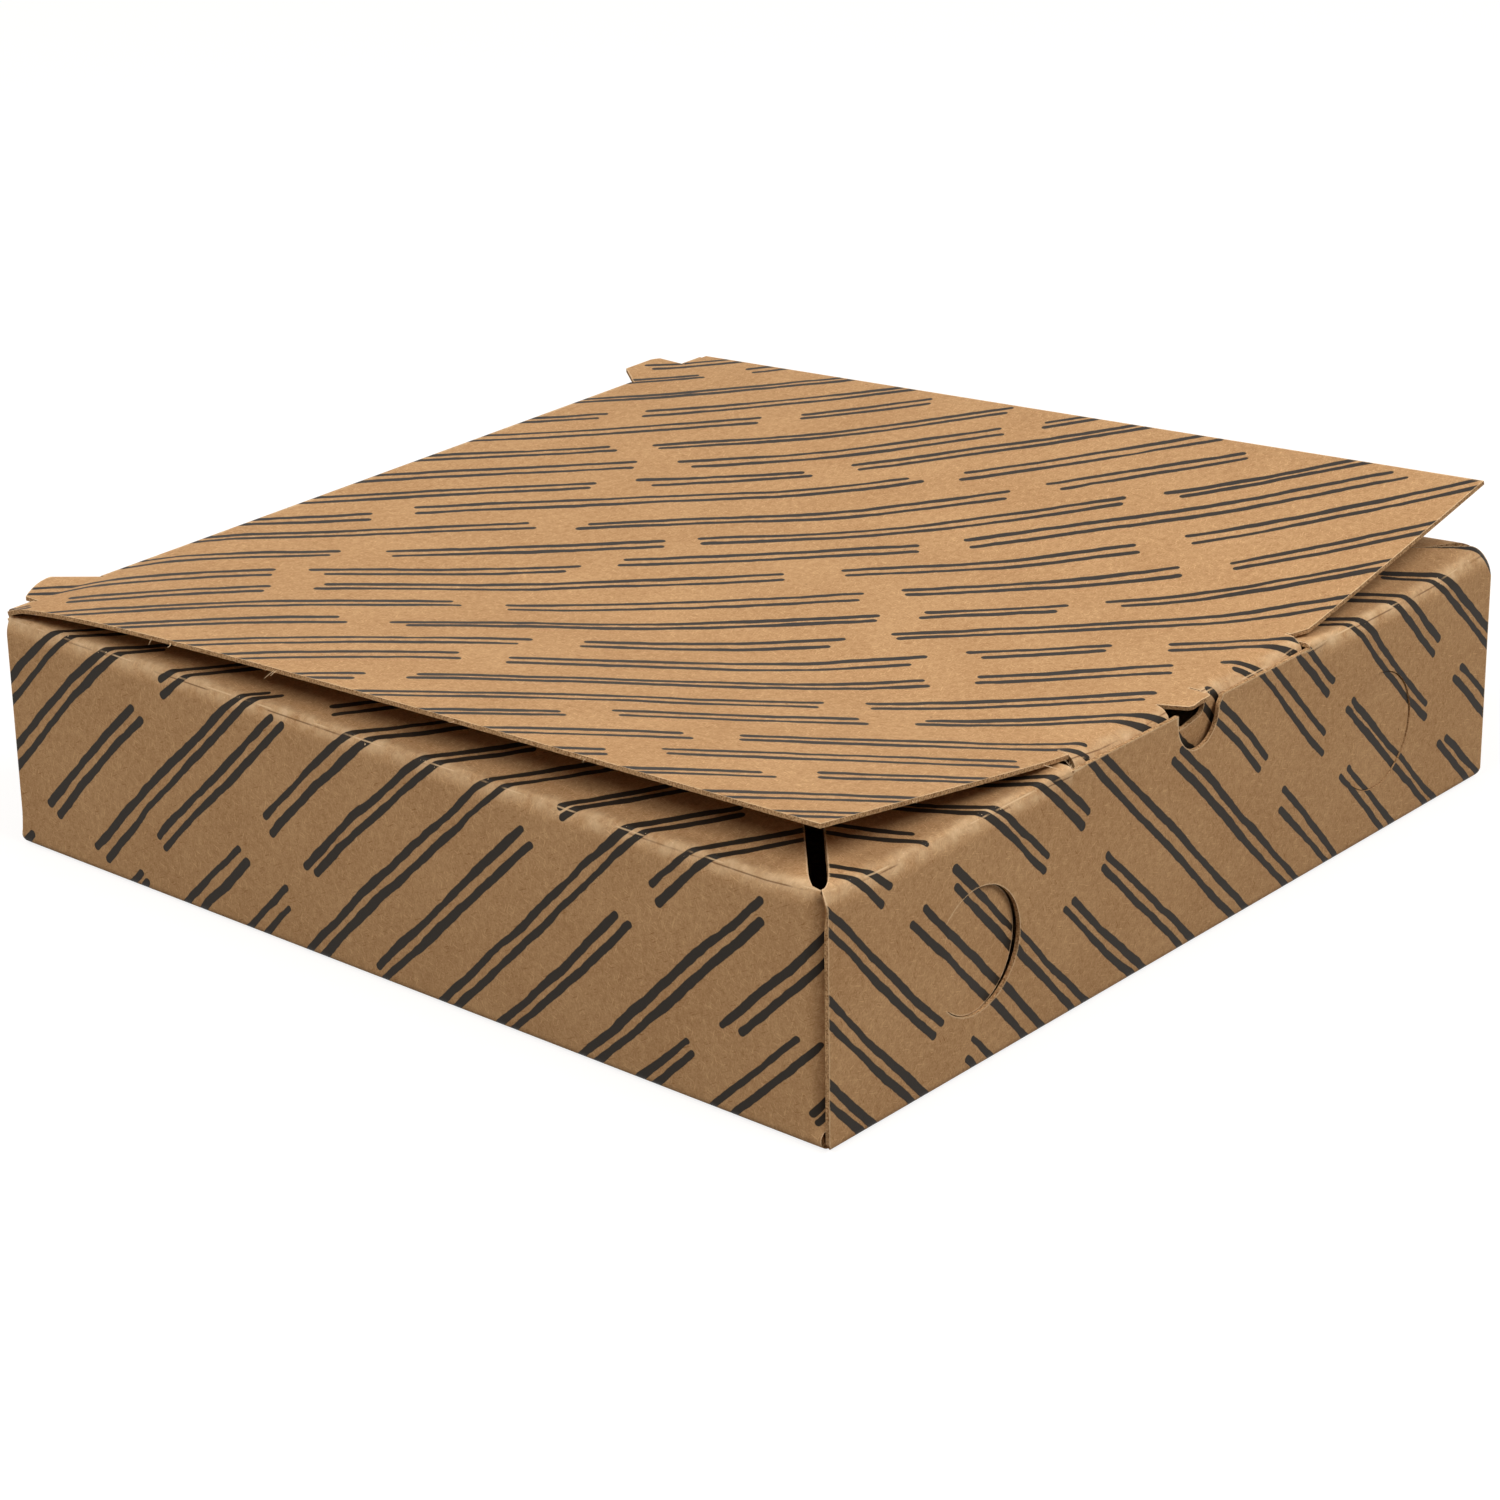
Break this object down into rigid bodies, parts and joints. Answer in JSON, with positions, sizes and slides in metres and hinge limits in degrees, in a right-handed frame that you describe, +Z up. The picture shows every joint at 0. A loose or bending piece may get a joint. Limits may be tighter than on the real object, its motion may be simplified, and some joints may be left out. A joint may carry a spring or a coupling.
{
  "type": "pizza box",
  "caption": "Small kraft board pizza box: folded tray with inward rims, creased lid with a tuck tab and warped corners, round push-in vents.",
  "frame": {"origin": "middle of the base's underside", "axes": "+Z up, +X along the lid's crease with the front wall facing -Y, crease at +Y"},
  "size_m": [0.2, 0.2065, 0.0609],
  "materials": {
    "kraft_board": "uncoated kraft board, printed outside with broken double strokes in black"
  },
  "bodies": {
    "tray": {"tray": "kraft_board"},
    "lid": {"lid": "kraft_board"},
    "vent_left": {"vent_flap_left": "kraft_board"},
    "vent_right": {"vent_flap_right": "kraft_board"}
  },
  "joints": [
    {"name": "lid_hinge", "type": "hinge", "parent": "tray", "child": "lid", "pos_m": [0, 0.1, 0.04615], "axis": [-1, 0, 0], "range_deg": [0, 180]},
    {"name": "vent_left_hinge", "type": "hinge", "parent": "tray", "child": "vent_left", "pos_m": [-0.0688, -0.0992, 0.0222], "axis": [0, 0, 1], "range_deg": [-3.5, 60]},
    {"name": "vent_right_hinge", "type": "hinge", "parent": "tray", "child": "vent_right", "pos_m": [0.0532, -0.0992, 0.0222], "axis": [0, 0, 1], "range_deg": [-0.5, 60]}
  ]
}
